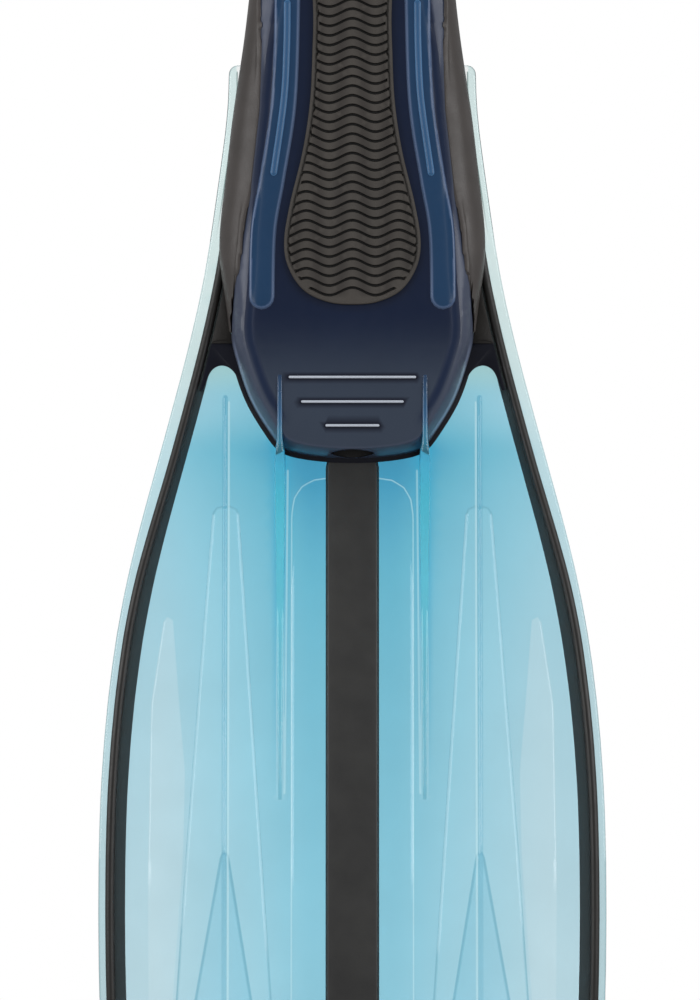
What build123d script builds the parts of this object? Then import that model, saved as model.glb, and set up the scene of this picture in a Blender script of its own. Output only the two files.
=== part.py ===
from build123d import *

import math
import os

# One full-foot swim fin: a see-through plastic blade, a rubber foot pocket, and the pieces that join them.
# Millimetres. +Z is up, the sole is underneath, the heel points to +Y and the blade's tip to -Y. The
# origin is under the middle of the fin, at the height of the surface that it lies on.

# --- Overall layout along Y ---
LENGTH = 600.0
HEEL_Y = LENGTH / 2
TIP_Y = -LENGTH / 2
TOE_Y = 14.0  # front of the sole's lip
FLANGE_INNER_X = 47.0
FLANGE_REAR_Y = 180.8  # where the blade's side flanges end, beside the instep
FLANGE_CORNER = 4.0

# --- Blade ---
# The blade's underside in side view: (y, z).
BLADE_LINE = [(310, 33), (180, 28), (100, 25.5), (20, 21), (-100, 11.8), (-200, 5), (-305, 0)]
BLADE_ROOT_THICKNESS = 3.2
BLADE_TIP_THICKNESS = 1.9
# Half of the blade's outline, from the rear of the side flange round to the middle of the tip.
BLADE_EDGE = [
    (52.6, FLANGE_REAR_Y - FLANGE_CORNER), (57.1, 130), (62.6, 93), (71.3, 54), (84.7, 4), (95.7, -40),
    (102.8, -85), (106.2, -130), (106.9, -181), (105.6, -232), (100.5, -268), (87, -291), (66, -300),
    (36, -298.2), (0, -294),
]
STRIP_WIDE = 4.6  # bare blade outside the rail, beside the foot pocket
STRIP_NARROW = 3.2  # and towards the tip
RAIL_INNER = 11.2  # from the blade's edge to the rail's inner edge
BEAD_WIDTH = 4.6
BEAD_DEPTH = 2.6
CAP_HEIGHT = 2.4
BEAD_FADE_Y = -215.0  # from here to the rail's end the bead thins out, to stay off the ground
RAIL_TIP_Y = -262.0
RAIL_REAR_Y = 104.0
ANCHOR_LENGTH = 11.0  # rubber plugs that lock each rail through the blade
ANCHOR_WIDTH = 2.4
ANCHOR_COUNT = 9
STEP = 0.45  # height of the blade's moulded facets
THIN_RIB_X = 54.0
THIN_RIB_WIDTH = 1.3
THIN_RIB_DEPTH = 1.1
THIN_RIB_REAR_Y = 39.0
FACET_END_Y = -284.0

# --- Centre strip ---
STRIP_HALF = 10.7
STRIP_LIP = 0.6  # how far the strip's top lips lap over the blade
STRIP_LIP_HEIGHT = 0.9
STRIP_REAR_Y = 20.0
STRIP_FRONT_Y = -271.0

# --- Keel ribs between the sole and the blade ---
KEEL_X = 30.5
KEEL_LIP = 2.2  # their width over the sole plate
KEEL_WIDE = 4.6  # and just in front of it, where they prop the blade
KEEL_NARROW = 1.7  # and at the front end
KEEL_REAR_Y = 49.0
KEEL_FRONT_Y = -131.0
KEEL_PROUD = 0.9  # how far they stand below the sole plate

# --- Sole ---
SOLE_Z = 2.6  # underside of the sole plate
SOLE_FLOOR = 3.0
SOLE_WALL = 2.6
SOLE_DRAFT = 6.2  # how far the plate's edge leans out between its underside and the blade
SOLE_ROUND = 2.6
SOLE_TOP_Z = 21.5
SOLE_RIM_Z = 10.0  # top of the plate's edge beside the arch and heel
# Half of the sole plate's outline at its top edge, from the heel's middle to the toe's.
SOLE_EDGE = [
    (0, 294), (17, 290), (29.5, 276), (35.6, 255), (38.2, 228), (40.3, 200), (42.2, 172), (44.6, 150),
    (47.0, 128), (49.2, 104), (51.0, 84), (51.2, 68), (48.2, 54), (42.6, 38), (34.6, 24.6),
    (29.4, 18.4), (21, 15.6), (10, TOE_Y + 0.3), (0, TOE_Y),
]
# --- Rubber under the blade, round the toes ---
WEB_REAR_Y = 100.0
WEB_FRONT_Y = 62.0
WEB_DEPTH = 2.0
WELT_WIDTH = 2.7
WELT_DEPTH = 1.6
# The rounded rear end of the bare blade beside the toes, from the welt round to the rail.
WELT_NOTCH = [(46.2, 41), (48.9, 47.6), (51.6, 51.2), (55.6, 52.6), (59.2, 51), (61.5, 47), (64, 41)]

# --- Raised work on the sole plate ---
PAD_PROUD = 1.1
PAD_WIDTH = 10.4
PAD_PATH = [(27.4, 240), (27.3, 206), (28.8, 163), (33.6, 131), (37.3, 109), (38.1, 81)]
RIDGE_PROUD = 0.9
RIDGE_WIDTH = 2.3
RIDGE_PATH = [(27.3, 204), (27.6, 184), (28.8, 163), (33.0, 133)]
CROSS_RIBS = [(47.2, 54.6), (36.9, 44.2), (26.9, 23.8)]  # (y, length)
CROSS_RIB_RADIUS = 0.75
DRAIN_HALF = 9.0
DRAIN_HEIGHT = 5.6
DRAIN_Z = 12.5

# --- Tread ---
TREAD_EDGE = [
    (0, 283), (13, 279.5), (21.5, 268), (23.6, 252), (20.8, 233), (17.6, 216), (16.5, 200), (16.8, 184),
    (17.8, 163), (20.9, 142), (26.2, 120), (28.7, 104), (26.9, 93), (20.5, 83.5), (10.5, 78.6), (0, 77.5),
]
TREAD_RING = 3.0
GROOVE_PITCH = 4.03
GROOVE_WIDTH = 1.25
GROOVE_DEPTH = 1.5
WAVE_LENGTH = 19.3
WAVE_HEIGHT = 1.6

# --- Foot pocket: (y, half width, top) at stations from the toe to the heel ---
POCKET = [
    (14, 21, 27), (16, 27, 29.5), (20.5, 33.5, 33), (27, 40, 37), (40, 47, 42),
    (58, 51, 46.5), (77, 53.3, 51), (100, 56.3, 57),
    (128, 54.3, 65), (158, 50.9, 73), (190, 46.2, 78), (225, 42.4, 79), (255, 39.6, 76), (277, 34.5, 71),
    (291, 24.5, 65), (299.6, 11, 58),
]
POCKET_BASE_Z = 4.0
POCKET_WALL = 3.4
FOOTBED = 1.8
TOE_BUMPER = 5.5  # extra rubber beside the toes
RAND_FRONT_Y = 66.0
OPENING = [(0, 291.5), (17, 286), (25.5, 264), (27.5, 236), (24.5, 205), (14.5, 181), (0, 173)]
FAR = 150.0  # longer than the fin is wide or high


def loop_points(half):
    """A closed list of points from the right half, whose first and last points are on the middle line."""
    return list(half) + [(-x, y) for x, y in reversed(half[1:-1])]


def inset(points, distance, closed=True):
    """Points that run down the right side first, moved inwards by a number or by a function of y."""
    moved = []
    last = len(points) - 1
    for i, (x, y) in enumerate(points):
        ax, ay = points[i - 1] if closed or i > 0 else points[0]
        bx, by = points[(i + 1) % len(points)] if closed or i < last else points[last]
        along = math.hypot(bx - ax, by - ay)
        d = distance(y) if callable(distance) else distance
        moved.append((x + (by - ay) / along * d, y - (bx - ax) / along * d))
    return moved


def ring(points, z=0.0):
    return Wire([Edge.make_spline([Vector(x, y, z) for x, y in points], periodic=True)])


def prism(points, z0=-20.0, z1=FAR):
    return extrude(Face(ring(points, z0)), z1 - z0, dir=(0, 0, 1))


def block(x0, x1, y0, y1, z0=-20.0, z1=FAR):
    return Pos((x0 + x1) / 2, (y0 + y1) / 2, (z0 + z1) / 2) * Box(x1 - x0, y1 - y0, z1 - z0)


def polygon_prism(points, z0=-20.0, z1=FAR, corner=0.0):
    face = Face(Polyline(*points, close=True))
    if corner:
        face = fillet(face.vertices(), corner)
    return extrude(Pos(0, 0, z0) * face, z1 - z0, dir=(0, 0, 1))


def thickness(y):
    share = min(1.0, max(0.0, (y - TIP_Y) / (TOE_Y - TIP_Y)))
    return BLADE_TIP_THICKNESS + (BLADE_ROOT_THICKNESS - BLADE_TIP_THICKNESS) * share


def slab(low, high):
    """The space between two lines in side view, each a list of (y, z), right across the fin."""
    below = Spline(*[(0, y, z) for y, z in low])
    above = Spline(*[(0, y, z) for y, z in high])
    ends = [Line(below @ 0, above @ 0), Line(below @ 1, above @ 1)]
    return extrude(Face(Wire([below, above, *ends])), FAR, dir=(1, 0, 0), both=True)


def lamina(below=0.0, above=0.0):
    """The blade's own layer, made thicker below its underside and above its top."""
    low = [(y, z - below) for y, z in BLADE_LINE]
    return slab(low, [(y, z + thickness(y) + above) for y, z in BLADE_LINE])


def under_blade():
    return slab([(y, -30) for y, _ in BLADE_LINE], BLADE_LINE)


def half_plan():
    """The right half of the blade's outline, as a prism."""
    z = -20.0
    x, y = BLADE_EDGE[0]
    turn = FLANGE_CORNER * (1 - math.sqrt(0.5))
    edge = Spline(*[(x, y, z) for x, y in BLADE_EDGE], tangents=[(0, -1, 0), (-1, 0, 0)])
    rear = (x - FLANGE_CORNER, FLANGE_REAR_Y, z)
    corner = ThreePointArc(rear, (x - turn, FLANGE_REAR_Y - turn, z), (x, y, z))
    rest = Polyline((0, BLADE_EDGE[-1][1], z), (0, FLANGE_REAR_Y, z), rear)
    return extrude(Face(Wire([edge, *rest.edges(), corner])), FAR + 20, dir=(0, 0, 1))


def edge_side(distance):
    """Points along the right side of the blade, moved inwards, from the flange's rear to the tip's corner."""
    return inset(BLADE_EDGE, distance, closed=False)[: len(BLADE_EDGE) - 3]


def strip_of(y):
    """Width of the bare blade outside the rail, which narrows from the foot pocket towards the tip."""
    share = min(1.0, max(0.0, (y + 60) / 80))
    return STRIP_NARROW + (STRIP_WIDE - STRIP_NARROW) * share * share * (3 - 2 * share)


def band(outer, inner, z0=-20.0, z1=FAR):
    """The prism between two open rows of points."""
    a = Spline(*[(x, y, z0) for x, y in outer])
    b = Spline(*[(x, y, z0) for x, y in inner])
    return extrude(Face(Wire([a, b, Line(a @ 0, b @ 0), Line(a @ 1, b @ 1)])), z1 - z0, dir=(0, 0, 1))


def ribbon(path, width, z0, z1):
    """A bar of one width along a row of points, with round ends."""
    line = Spline(*[(x, y, z0) for x, y in path])
    count = 3 * len(path)
    spots = [line @ (i / count) for i in range(count + 1)]
    turns = [line % (i / count) for i in range(count + 1)]
    sides = [[p + Vector(-t.Y, t.X) * s * width / 2 for p, t in zip(spots, turns)] for s in (1, -1)]
    edges = [Edge.make_spline(side) for side in sides]
    caps = []
    for i, way in ((0, -1), (-1, 1)):
        middle = spots[i] + turns[i] * way * width / 2
        caps.append(Edge.make_three_point_arc(sides[0][i], middle, sides[1][i]))
    return extrude(Face(Wire([*edges, *caps])), z1 - z0, dir=(0, 0, 1))


def top_edges(solid, z):
    """The edges of solid that lie in the plane at z."""
    return [e for e in solid.edges() if all(abs(e.position_at(t).Z - z) < 1e-3 for t in (0, 0.37, 1))]


def both_sides(solid):
    return [solid, mirror(solid, Plane.YZ)]


def right_half(solid):
    return solid & block(0, FAR, -2 * FAR - 20, 2 * FAR + 20, -FAR, FAR)


def whole(half):
    """A right half joined to its mirror image."""
    right, left = both_sides(half)
    return right + left


# --- Foot pocket ---
def pocket_section(y, half, base, top):
    rise = top - base
    right = [(0, base), (half * 0.52, base), (half * 0.86, base + 2.2), (half, base + rise * 0.3),
             (half * 0.9, base + rise * 0.62), (half * 0.5, top - rise * 0.07), (0, top)]
    points = [Vector(x, y, z) for x, z in right] + [Vector(-x, y, z) for x, z in reversed(right[1:-1])]
    return Wire([Edge.make_spline(points, periodic=True)])


def pocket_hull():
    """The right half of the foot pocket's outer shape, filled."""
    return right_half(Solid.make_loft([pocket_section(y, w, POCKET_BASE_Z, top) for y, w, top in POCKET]))


def foot_space():
    """The right half of the hollow that the foot fills, from the footbed up."""
    base = SOLE_Z + SOLE_FLOOR + FOOTBED
    rows = []
    for y, w, top in POCKET[3:-1]:
        side_wall = POCKET_WALL + (TOE_BUMPER if y < 60 else 0)
        rows.append((y, w - side_wall, top - POCKET_WALL))
    rows.append((HEEL_Y - POCKET_WALL, 8, rows[-1][2]))
    return right_half(Solid.make_loft([pocket_section(y, w, base, top) for y, w, top in rows]))


def make_pocket(hull, space, blade, sole, sole_hull):
    """Right halves of the rubber rand below the blade's line and of the softer upper above it."""
    shell = hull - space - prism(loop_points(OPENING), 40)
    rand = shell & under_blade() & block(0, FAR, RAND_FRONT_Y, FAR * 3)
    rand -= sole_hull & block(0, FAR, -FAR, FAR * 3, -20, SOLE_RIM_Z)
    rand -= sole
    upper = shell - under_blade() - blade
    return rand, upper


# --- Sole ---
def sole_points(z):
    """The sole plate's outline at one height, between its underside and the blade."""
    lean = 1 - (z - SOLE_Z) / (SOLE_TOP_Z - SOLE_Z)
    return inset(loop_points(SOLE_EDGE), SOLE_DRAFT * lean)


def make_sole_hull():
    """The right half of the sole plate's outer shape, filled, up through the blade."""
    high = SOLE_TOP_Z + 5
    body = Solid.make_loft([ring(sole_points(SOLE_Z), SOLE_Z), ring(sole_points(high), high)])
    body = fillet(top_edges(body, SOLE_Z), SOLE_ROUND)
    return right_half(body)


def make_sole(hull):
    floor_z, high = SOLE_Z + SOLE_FLOOR, SOLE_TOP_Z + 8
    hollow = [ring(inset(sole_points(z), SOLE_WALL), z) for z in (floor_z, high)]
    body = hull - Solid.make_loft(hollow)
    # The wall is as high as the blade round the toes, and low beside the arch and heel.
    profile = [(0, -5), (310, -5), (310, SOLE_RIM_Z), (96, SOLE_RIM_Z), (70, 30), (0, 30)]
    keep = Face(Polyline(*[(0, y, z) for y, z in profile], close=True))
    body &= extrude(keep, FAR, dir=(1, 0, 0))
    body &= under_blade()
    pad_z = SOLE_Z - PAD_PROUD
    ridge_z = pad_z - RIDGE_PROUD
    pad = ribbon(PAD_PATH, PAD_WIDTH, pad_z, SOLE_Z + 1)
    body += fillet(top_edges(pad, pad_z), 0.7)
    ridge = ribbon(RIDGE_PATH, RIDGE_WIDTH, ridge_z, SOLE_Z)
    body += fillet(top_edges(ridge, ridge_z), 0.7)
    for y, length in CROSS_RIBS:
        bar = Pos(length / 4, y, SOLE_Z) * Rot(0, 90, 0) * Cylinder(CROSS_RIB_RADIUS, length / 2)
        body += bar + Pos(length / 2, y, SOLE_Z) * Sphere(CROSS_RIB_RADIUS)
    body -= prism(loop_points(TREAD_EDGE), -20, floor_z)
    drain = extrude(Plane.XZ * Ellipse(DRAIN_HALF, DRAIN_HEIGHT / 2), 9, both=True)
    return whole(body - Pos(0, TOE_Y, DRAIN_Z) * drain)


def make_footbed(space):
    low, high = SOLE_Z + SOLE_FLOOR, SOLE_Z + SOLE_FLOOR + FOOTBED
    bed = Solid.make_loft([ring(inset(sole_points(z), SOLE_WALL), z) for z in (low, high)])
    return whole(right_half(bed) - space)


def groove(y):
    """One wavy groove across the tread, as a flat face that is trimmed to the tread afterwards."""
    quarter = WAVE_LENGTH / 4
    wave = [(quarter * i, y + WAVE_HEIGHT * math.cos(math.pi * i / 2)) for i in range(-7, 8)]
    sides = [Spline(*[(x, v + s * GROOVE_WIDTH / 2, 0) for x, v in wave]) for s in (1, -1)]
    ends = [Line(sides[0] @ t, sides[1] @ t) for t in (0, 1)]
    return Face(Wire([*sides, *ends]))


def make_tread():
    pad = right_half(prism(loop_points(TREAD_EDGE), 0, SOLE_Z + SOLE_FLOOR))
    inside = Face(ring(inset(loop_points(TREAD_EDGE), TREAD_RING)))
    low, high = TREAD_EDGE[-1][1] + TREAD_RING, TREAD_EDGE[0][1] - TREAD_RING
    for i in range(int((high - low) / GROOVE_PITCH)):
        for face in (groove(low + GROOVE_PITCH * (i + 0.6)) & inside).faces():
            pad -= extrude(face, GROOVE_DEPTH, dir=(0, 0, 1))
    return whole(pad)


# --- Blade ---
def facets():
    """The flat steps moulded into the underside of the right half: the wedge, its notch, and two panels."""
    end = FACET_END_Y
    wedge = [(48.2, -7), (59.0, -7), (62.9, -57), (69.9, -152), (78.6, end), (29.4, end), (40.9, -114)]
    notch = [(52.4, -152.5), (55.2, -152.5), (66.2, -214.5), (78.9, end - 1), (28.6, end - 1), (42.3, -214.5)]
    outer = [(76.2, -54), (79.4, -54), (84.9, -91), (85.9, -160), (85.0, end + 16), (79.2, end + 16),
             (71.4, -152), (70.8, -119), (73.3, -91)]
    inner = [(-25.8, end), (25.8, end), (25.8, 5), (-25.8, 5)]
    return wedge, notch, outer, inner


def make_blade(space):
    body = half_plan() & lamina()
    wedge, notch, outer, inner = facets()
    raised = polygon_prism(wedge, corner=2.5) - polygon_prism(notch, corner=1.2)
    body += raised & lamina(below=STEP)
    body += polygon_prism(outer, corner=1.5) & lamina(below=STEP * 0.6)
    body += right_half(polygon_prism(inner, corner=11)) & lamina(below=STEP * 0.8)
    rib = THIN_RIB_WIDTH / 2
    rib = block(THIN_RIB_X - rib, THIN_RIB_X + rib, FACET_END_Y + 20, THIN_RIB_REAR_Y)
    body += rib & lamina(below=THIN_RIB_DEPTH)
    body -= space
    body -= block(0, FLANGE_INNER_X, WEB_REAR_Y, 2 * FAR + 20)
    body -= strip_slot(STRIP_HALF)
    for hole in anchors():
        body -= hole
    return body


def strip_slot(half):
    """The right half of the centre strip's outline, with a round front end."""
    shape = block(0, half, STRIP_FRONT_Y + half, STRIP_REAR_Y)
    return shape + right_half(Pos(0, STRIP_FRONT_Y + half, 60) * Cylinder(half, 160))


def anchors():
    """The slots in the blade that each rail's rubber fills, along the line of the bead."""
    middle = edge_side(lambda y: strip_of(y) + BEAD_WIDTH / 2)
    line = Spline(*[(x, y, 0) for x, y in middle])
    holes = []
    for i in range(ANCHOR_COUNT):
        t = 0.28 + 0.64 * i / (ANCHOR_COUNT - 1)
        spot, turn = line @ t, line % t
        angle = math.degrees(math.atan2(turn.Y, turn.X))
        holes.append(Pos(spot.X, spot.Y, 30) * Rot(0, 0, angle) * Box(ANCHOR_LENGTH, ANCHOR_WIDTH, 80))
    return holes


# --- Rubber on the blade ---
def make_rail(body):
    """The right rail: a bead under the blade, a flat cap over it, and the plugs that join them.

    body is what the foot pocket and the sole already fill, and so are its neighbours' below."""
    outer = edge_side(strip_of)
    bead = band(outer, edge_side(lambda y: strip_of(y) + BEAD_WIDTH)) & lamina(below=BEAD_DEPTH)
    bead &= block(0, FAR, BEAD_FADE_Y, RAIL_REAR_Y)
    cap = band(outer, edge_side(RAIL_INNER)) & lamina(above=CAP_HEIGHT)
    cap &= block(0, FAR, RAIL_TIP_Y, RAIL_REAR_Y)
    rail = (bead - lamina()) + (cap - lamina())
    for hole in anchors():
        rail += hole & lamina()
    return cut_away(rail, body)


def cut_away(shape, body):
    """The main solid that is left of shape once its neighbours are cut out of it."""
    for solid in body:
        shape -= solid
    return max(shape.solids(), key=lambda solid: solid.volume)


def inside_bead():
    outer = edge_side(lambda y: strip_of(y) + BEAD_WIDTH)
    return band(outer, [(0, y) for _, y in outer])


def make_web(body):
    """The right corner's rubber web, between the rail, the foot pocket and the toe."""
    web = block(30, FAR, WEB_FRONT_Y, WEB_REAR_Y) & inside_bead() & lamina(below=WEB_DEPTH)
    return cut_away(web - lamina(), body)


def make_welt(body):
    """The right half of the rubber welt that seals the sole plate to the blade, round the toes."""
    front = WELT_NOTCH[0][1] + 1
    corner = block(30, FAR, front, WEB_FRONT_Y) & inside_bead()
    notch = Spline(*[(x, y, -20) for x, y in WELT_NOTCH])
    corner -= extrude(Face(Wire([notch, Line(notch @ 0, notch @ 1)])), FAR, dir=(0, 0, 1))
    edge = right_half(prism(inset(loop_points(SOLE_EDGE), -WELT_WIDTH)))
    edge &= block(0, FAR, 0, WEB_FRONT_Y)
    welt = (corner + edge) & lamina(below=WELT_DEPTH)
    return cut_away(welt - lamina(), body)


def make_strip(body):
    core = strip_slot(STRIP_HALF) & lamina(below=STEP + 0.3)
    lips = strip_slot(STRIP_HALF + STRIP_LIP) & lamina(above=STRIP_LIP_HEIGHT)
    strip = core + (lips - lamina())
    strip &= block(0, FAR, -2 * FAR, STRIP_REAR_Y)
    return cut_away(strip, body)


def make_keel(body):
    """The right keel rib: a thin web that props the blade from the sole, and fades out along it."""
    low = SOLE_Z - KEEL_PROUD
    side = [(KEEL_REAR_Y, low + 1.2), (KEEL_REAR_Y - 6, low), (16, low), (-8, 8.4), (-50, 12.2)]
    side += [(KEEL_FRONT_Y, 9), (KEEL_FRONT_Y, 30), (KEEL_REAR_Y, 30)]
    face = Face(Polyline(*[(0, y, z) for y, z in side], close=True))
    widths = [(KEEL_REAR_Y, KEEL_LIP), (TOE_Y + 8, KEEL_LIP), (TOE_Y, KEEL_WIDE), (KEEL_FRONT_Y, KEEL_NARROW)]
    plan = [(KEEL_X + w / 2, y) for y, w in widths] + [(KEEL_X - w / 2, y) for y, w in reversed(widths)]
    web = extrude(face, FAR, dir=(1, 0, 0)) & polygon_prism(plan)
    return cut_away(web & under_blade(), body)


def main():
    os.makedirs("parts", exist_ok=True)
    hull, space, sole_hull = pocket_hull(), foot_space(), make_sole_hull()
    blade = make_blade(space)
    sole = make_sole(sole_hull)
    rand, upper = make_pocket(hull, space, blade, sole, sole_hull)
    body = [sole_hull, rand, upper]
    rail, welt = make_rail(body), make_welt(body)
    pieces = {
        "blade": whole(blade),
        "sole_plate": sole,
        "tread_pad": make_tread(),
        "footbed": make_footbed(space),
        "pocket_rand": whole(rand),
        "pocket_upper": whole(upper),
        "toe_welt": whole(welt),
        "centre_strip": whole(make_strip([*body, welt])),
    }
    pairs = {"side_rail": rail, "corner_web": make_web(body), "keel_rib": make_keel([sole_hull, welt])}
    for name, right in pairs.items():
        pieces[name + "_right"], pieces[name + "_left"] = both_sides(right)
    for name, shape in pieces.items():
        export_step(Compound(shape.solids()), f"parts/{name}.step")


main()
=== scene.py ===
import math

import bmesh
import bpy
import numpy as np
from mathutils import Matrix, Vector
from mathutils.bvhtree import BVHTree
from mathutils.geometry import delaunay_2d_cdt


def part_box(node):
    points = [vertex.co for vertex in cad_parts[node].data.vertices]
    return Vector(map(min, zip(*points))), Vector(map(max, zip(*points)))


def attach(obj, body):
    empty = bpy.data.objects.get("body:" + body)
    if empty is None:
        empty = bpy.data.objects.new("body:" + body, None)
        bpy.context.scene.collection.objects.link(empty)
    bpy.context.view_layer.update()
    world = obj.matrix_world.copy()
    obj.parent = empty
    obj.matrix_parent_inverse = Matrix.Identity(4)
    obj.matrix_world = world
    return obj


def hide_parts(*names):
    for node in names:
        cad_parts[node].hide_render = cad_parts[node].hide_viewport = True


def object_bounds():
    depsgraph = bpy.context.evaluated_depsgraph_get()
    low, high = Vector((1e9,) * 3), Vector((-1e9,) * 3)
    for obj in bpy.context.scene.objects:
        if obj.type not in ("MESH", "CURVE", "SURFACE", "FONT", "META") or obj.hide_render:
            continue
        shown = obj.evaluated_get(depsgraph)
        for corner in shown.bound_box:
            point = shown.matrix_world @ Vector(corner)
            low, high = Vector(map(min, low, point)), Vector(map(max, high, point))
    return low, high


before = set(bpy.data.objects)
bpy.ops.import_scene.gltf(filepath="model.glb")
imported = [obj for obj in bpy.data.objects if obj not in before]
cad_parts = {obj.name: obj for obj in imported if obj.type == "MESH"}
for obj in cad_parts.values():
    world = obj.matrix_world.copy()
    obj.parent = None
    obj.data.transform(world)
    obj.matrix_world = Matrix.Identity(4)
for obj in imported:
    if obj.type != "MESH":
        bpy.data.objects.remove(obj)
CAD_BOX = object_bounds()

MM = 0.001

# --- Picture ---
LENS = 150.0
SENSOR = 36.0
VIEW_LENGTH = 0.420  # what the picture's long side covers, at the height of the sole
AIM_X = 0.001
AIM_Y = -0.0044  # the middle of the picture, along the fin
AIM_Z = 0.004
ROOM_LIGHT = 0.3  # how bright the white room is, beside how bright it looks


# --- Camera, light and floor ---
def new_object(name, data):
    item = bpy.data.objects.new(name, data)
    bpy.context.scene.collection.objects.link(item)
    return item


def add_camera():
    data = bpy.data.cameras.new("camera")
    data.lens = LENS
    data.sensor_width = SENSOR
    camera = new_object("camera", data)
    distance = VIEW_LENGTH * LENS / SENSOR
    camera.location = (AIM_X, AIM_Y, AIM_Z - distance)
    camera.rotation_euler = (math.pi, 0, math.pi)
    data.clip_start = 0.01
    data.clip_end = 100
    bpy.context.scene.camera = camera


def add_light(name, place, aim, size, power, shine=True):
    data = bpy.data.lights.new(name, "AREA")
    data.shape = "RECTANGLE"
    data.size, data.size_y = size
    data.energy = power
    lamp = new_object(name, data)
    lamp.location = place
    lamp.rotation_euler = (Vector(aim) - Vector(place)).to_track_quat("-Z", "Y").to_euler()
    lamp.visible_camera = False
    lamp.visible_transmission = False
    lamp.visible_glossy = shine


def add_world():
    world = bpy.data.worlds.new("studio")
    world.use_nodes = True
    background = world.node_tree.nodes["Background"]
    nodes, links = world.node_tree.nodes, world.node_tree.links
    rays = nodes.new("ShaderNodeLightPath")
    seen = nodes.new("ShaderNodeMath")
    seen.operation = "MAXIMUM"
    links.new(rays.outputs["Is Camera Ray"], seen.inputs[0])
    links.new(rays.outputs["Is Transmission Ray"], seen.inputs[1])
    strength = nodes.new("ShaderNodeMapRange")
    strength.inputs["To Min"].default_value = ROOM_LIGHT
    strength.inputs["To Max"].default_value = 1.0
    links.new(seen.outputs[0], strength.inputs["Value"])
    links.new(strength.outputs[0], background.inputs["Strength"])
    background.inputs["Color"].default_value = (1, 1, 1, 1)
    scene = bpy.context.scene
    scene.world = world
    scene.view_settings.view_transform = "Standard"


def add_floor():
    """A pale floor that the fin lies on. It's only there for an eye above it, so the sole can be seen."""
    mesh = bpy.data.meshes.new("floor")
    half = 4.0
    corners = [(-half, -half, 0), (half, -half, 0), (half, half, 0), (-half, half, 0)]
    mesh.from_pydata(corners, [], [(0, 1, 2, 3)])
    floor = new_object("floor", mesh)
    floor.location.z = CAD_BOX[0].z
    floor.visible_shadow = False
    floor.visible_diffuse = False
    floor.visible_glossy = False
    material, shader = new_material("floor")
    shader.inputs["Base Color"].default_value = (0.83, 0.84, 0.85, 1)
    shader.inputs["Roughness"].default_value = 0.8
    nodes, links = material.node_tree.nodes, material.node_tree.links
    clear = nodes.new("ShaderNodeBsdfTransparent")
    side = nodes.new("ShaderNodeNewGeometry")
    mix = nodes.new("ShaderNodeMixShader")
    links.new(side.outputs["Backfacing"], mix.inputs[0])
    links.new(shader.outputs[0], mix.inputs[1])
    links.new(clear.outputs[0], mix.inputs[2])
    links.new(mix.outputs[0], nodes["Material Output"].inputs["Surface"])
    mesh.materials.append(material)


# --- Materials ---
def new_material(name):
    material = bpy.data.materials.new(name)
    material.use_nodes = True
    return material, material.node_tree.nodes["Principled BSDF"]


class Shader:
    """Short ways to build a material's nodes."""

    def __init__(self, name):
        self.material, self.surface = new_material(name)
        self.nodes = self.material.node_tree.nodes
        self.links = self.material.node_tree.links
        self.place = self.nodes.new("ShaderNodeTexCoord").outputs["Object"]

    def set(self, **values):
        for name, value in values.items():
            self.surface.inputs[name.replace("_", " ")].default_value = value

    def noise(self, scale, detail=3.0):
        noise = self.nodes.new("ShaderNodeTexNoise")
        noise.inputs["Scale"].default_value = scale
        noise.inputs["Detail"].default_value = detail
        self.links.new(self.place, noise.inputs["Vector"])
        return noise.outputs["Fac"]

    def ramp(self, value, stops):
        ramp = self.nodes.new("ShaderNodeValToRGB")
        elements = ramp.color_ramp.elements
        while len(elements) < len(stops):
            elements.new(0.5)
        for element, (position, colour) in zip(elements, stops):
            element.position = position
            element.color = (*colour, 1)
        self.links.new(value, ramp.inputs["Fac"])
        return ramp.outputs["Color"]

    def spread(self, value, low, high, start=0.0, end=1.0):
        """value from low..high as start..end, clamped."""
        node = self.nodes.new("ShaderNodeMapRange")
        node.inputs["From Min"].default_value = low
        node.inputs["From Max"].default_value = high
        node.inputs["To Min"].default_value = start
        node.inputs["To Max"].default_value = end
        self.links.new(value, node.inputs["Value"])
        return node.outputs["Result"]

    def along(self, axis):
        split = self.nodes.new("ShaderNodeSeparateXYZ")
        self.links.new(self.place, split.inputs[0])
        return split.outputs[axis]

    def bump(self, height, strength, distance):
        node = self.nodes.new("ShaderNodeBump")
        node.inputs["Strength"].default_value = strength
        node.inputs["Distance"].default_value = distance
        self.links.new(height, node.inputs["Height"])
        self.links.new(node.outputs[0], self.surface.inputs["Normal"])

    def link(self, output, name):
        self.links.new(output, self.surface.inputs[name])

    def roughness(self, scale, low, high):
        """Roughness from low to high, in soft patches."""
        self.link(self.spread(self.noise(scale), 0.3, 0.7, low, high), "Roughness")


def linear(red, green, blue):
    """A colour on a 0 to 255 screen scale, as the renderer's linear values."""
    return tuple(((c / 255 + 0.055) / 1.055) ** 2.4 if c > 10 else c / 3294.6 for c in (red, green, blue))


def rubber(name, dark, light, roughness):
    s = Shader(name)
    s.link(s.ramp(s.noise(60, 4), [(0.3, dark), (0.75, light)]), "Base Color")
    s.roughness(140, roughness - 0.05, roughness + 0.07)
    s.bump(s.noise(900, 2), 0.18, 0.0004)
    s.set(Specular_IOR_Level=0.42)
    return s.material


def glossy_plastic(name, dark, light, roughness):
    s = Shader(name)
    s.link(s.ramp(s.noise(18, 3), [(0.3, dark), (0.75, light)]), "Base Color")
    s.roughness(240, roughness - 0.02, roughness + 0.05)
    s.bump(s.noise(55, 2), 0.05, 0.0006)
    s.set(Coat_Weight=0.1, Coat_Roughness=0.15, IOR=1.45, Specular_IOR_Level=0.3)
    return s.material


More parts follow.
